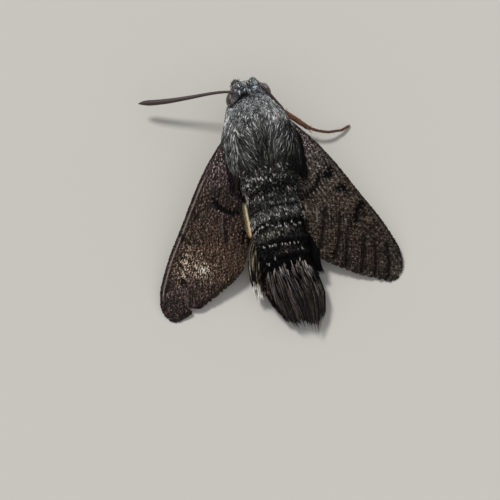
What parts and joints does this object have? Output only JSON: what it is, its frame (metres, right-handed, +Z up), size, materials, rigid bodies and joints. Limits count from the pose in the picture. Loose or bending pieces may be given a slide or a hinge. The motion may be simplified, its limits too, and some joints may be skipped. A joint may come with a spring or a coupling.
{
  "type": "hummingbird hawk moth",
  "caption": "Life-size still model of a stout grey-brown hawk moth at rest, with swept-back wings, a furry body and a fan-shaped tail of long scales.",
  "frame": {"origin": "on the floor under the middle of the moth's bounding box", "axes": "+Z up, +Y from head to tail, +X to the moth's left"},
  "size_m": [0.0278, 0.0286, 0.0083],
  "materials": {
    "grey_fur": "dense grey hair-scales, pale and dark mixed",
    "abdomen_scales": "dark grey scales in rings with pale tips",
    "tail_scales": "long blackish hair-scales",
    "wing_scales": "overlapping grey-brown scales, slightly glossy",
    "hindwing_scales": "orange scales with a dark border",
    "eye": "glossy dark brown",
    "leg_scales": "matt reddish brown",
    "antenna_scales": "satin dark brown"
  },
  "bodies": {
    "root": {"head": "grey_fur", "eye_left": "eye", "eye_right": "eye", "palp_left": "grey_fur", "palp_right": "grey_fur", "proboscis": "antenna_scales", "antenna_left": "antenna_scales", "antenna_right": "antenna_scales", "thorax": "grey_fur", "abdomen_1": "abdomen_scales", "abdomen_2": "abdomen_scales", "abdomen_3": "abdomen_scales", "abdomen_4": "abdomen_scales", "abdomen_5": "abdomen_scales", "tail_fan": "tail_scales", "flank_tuft_left": "tail_scales", "flank_tuft_right": "tail_scales", "forewing_left": "wing_scales", "forewing_right": "wing_scales", "hindwing_left": "hindwing_scales", "hindwing_right": "hindwing_scales", "foreleg_left_femur": "leg_scales", "foreleg_left_tibia": "leg_scales", "foreleg_left_foot": "leg_scales", "foreleg_right_femur": "leg_scales", "foreleg_right_tibia": "leg_scales", "foreleg_right_foot": "leg_scales", "midleg_left_femur": "leg_scales", "midleg_left_tibia": "leg_scales", "midleg_left_foot": "leg_scales", "midleg_right_femur": "leg_scales", "midleg_right_tibia": "leg_scales", "midleg_right_foot": "leg_scales", "hindleg_left_femur": "leg_scales", "hindleg_left_tibia": "leg_scales", "hindleg_left_foot": "leg_scales", "hindleg_right_femur": "leg_scales", "hindleg_right_tibia": "leg_scales", "hindleg_right_foot": "leg_scales"}
  },
  "joints": []
}
